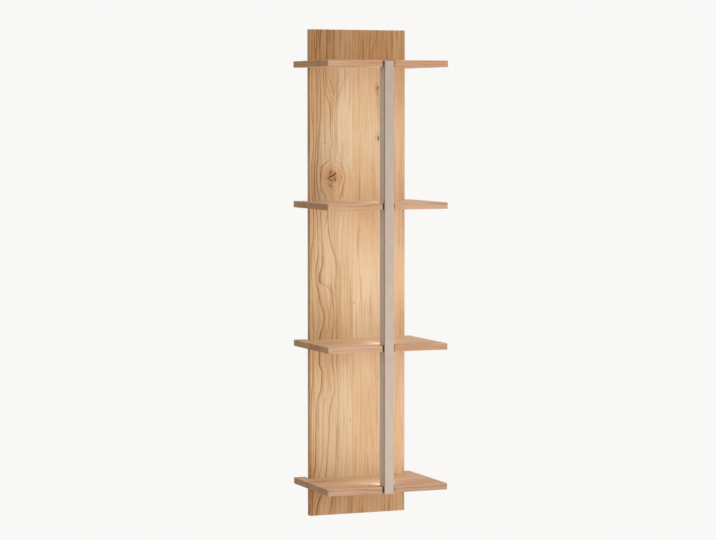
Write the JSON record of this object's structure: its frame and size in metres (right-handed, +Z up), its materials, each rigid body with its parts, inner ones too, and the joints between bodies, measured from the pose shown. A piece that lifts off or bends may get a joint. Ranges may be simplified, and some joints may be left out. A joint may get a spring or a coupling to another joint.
{
  "type": "spine bookshelf",
  "caption": "Tall wall-hung shelf: an upright oak panel with oak shelves notched round it, tied at the front by a slim lit spine.",
  "frame": {"origin": "on the wall plane, midway between the two screw holes of the wall cleat", "axes": "+Z up along the panel, +X to the right as seen from the front, +Y into the wall"},
  "size_m": [0.4, 0.308, 1.54],
  "materials": {
    "oak_panel": "oiled wild oak, edge-glued staves, vertical grain",
    "oak_shelf": "oiled wild oak, grain along the shelf",
    "beech": "planed beech, raw",
    "greige_coat": "greige fine-texture powder coat",
    "zinc_steel": "zinc plated",
    "plain_aluminium": "mill finish",
    "insert_brass": "turned brass",
    "opal": "opal diffuser, lit warm white",
    "light_board": "white solder mask",
    "circuit_board": "green solder mask",
    "white_plastic": "fine moulded texture",
    "black_plastic": "fine moulded texture",
    "black_rubber": "soft matt",
    "lead_jacket": "white cable jacket"
  },
  "bodies": {
    "wall_cleat": {"wall_cleat": "beech"},
    "shelf_unit": {"back_panel": "oak_panel", "shelf_top": "oak_shelf", "shelf_upper": "oak_shelf", "shelf_lower": "oak_shelf", "shelf_bottom": "oak_shelf", "shelf_dowels": "beech", "hanging_cleat": "beech", "spine_profile": "greige_coat", "spine_cover": "greige_coat", "spine_cap_top": "greige_coat", "spine_cap_bottom": "greige_coat", "shelf_screws": "zinc_steel", "spine_bolts": "zinc_steel", "cleat_screws": "zinc_steel", "driver_screws": "zinc_steel", "spine_sleeves": "plain_aluminium", "threaded_inserts": "insert_brass", "led_diffuser_top": "opal", "led_diffuser_middle": "opal", "led_diffuser_bottom": "opal", "led_strip_top": "light_board", "led_strip_middle": "light_board", "led_strip_bottom": "light_board", "led_jumper_upper": "light_board", "led_jumper_lower": "light_board", "driver_board": "circuit_board", "driver_case": "white_plastic", "driver_lid": "white_plastic", "feed_terminal": "white_plastic", "mains_inlet": "black_plastic", "lead_gland": "black_plastic", "lead_grommet": "black_rubber", "feed_lead": "lead_jacket"}
  },
  "joints": [
    {"name": "hang_lift", "type": "slide", "parent": "wall_cleat", "child": "shelf_unit", "axis": [0, 0, 1], "range_m": [0, 0.03]}
  ]
}
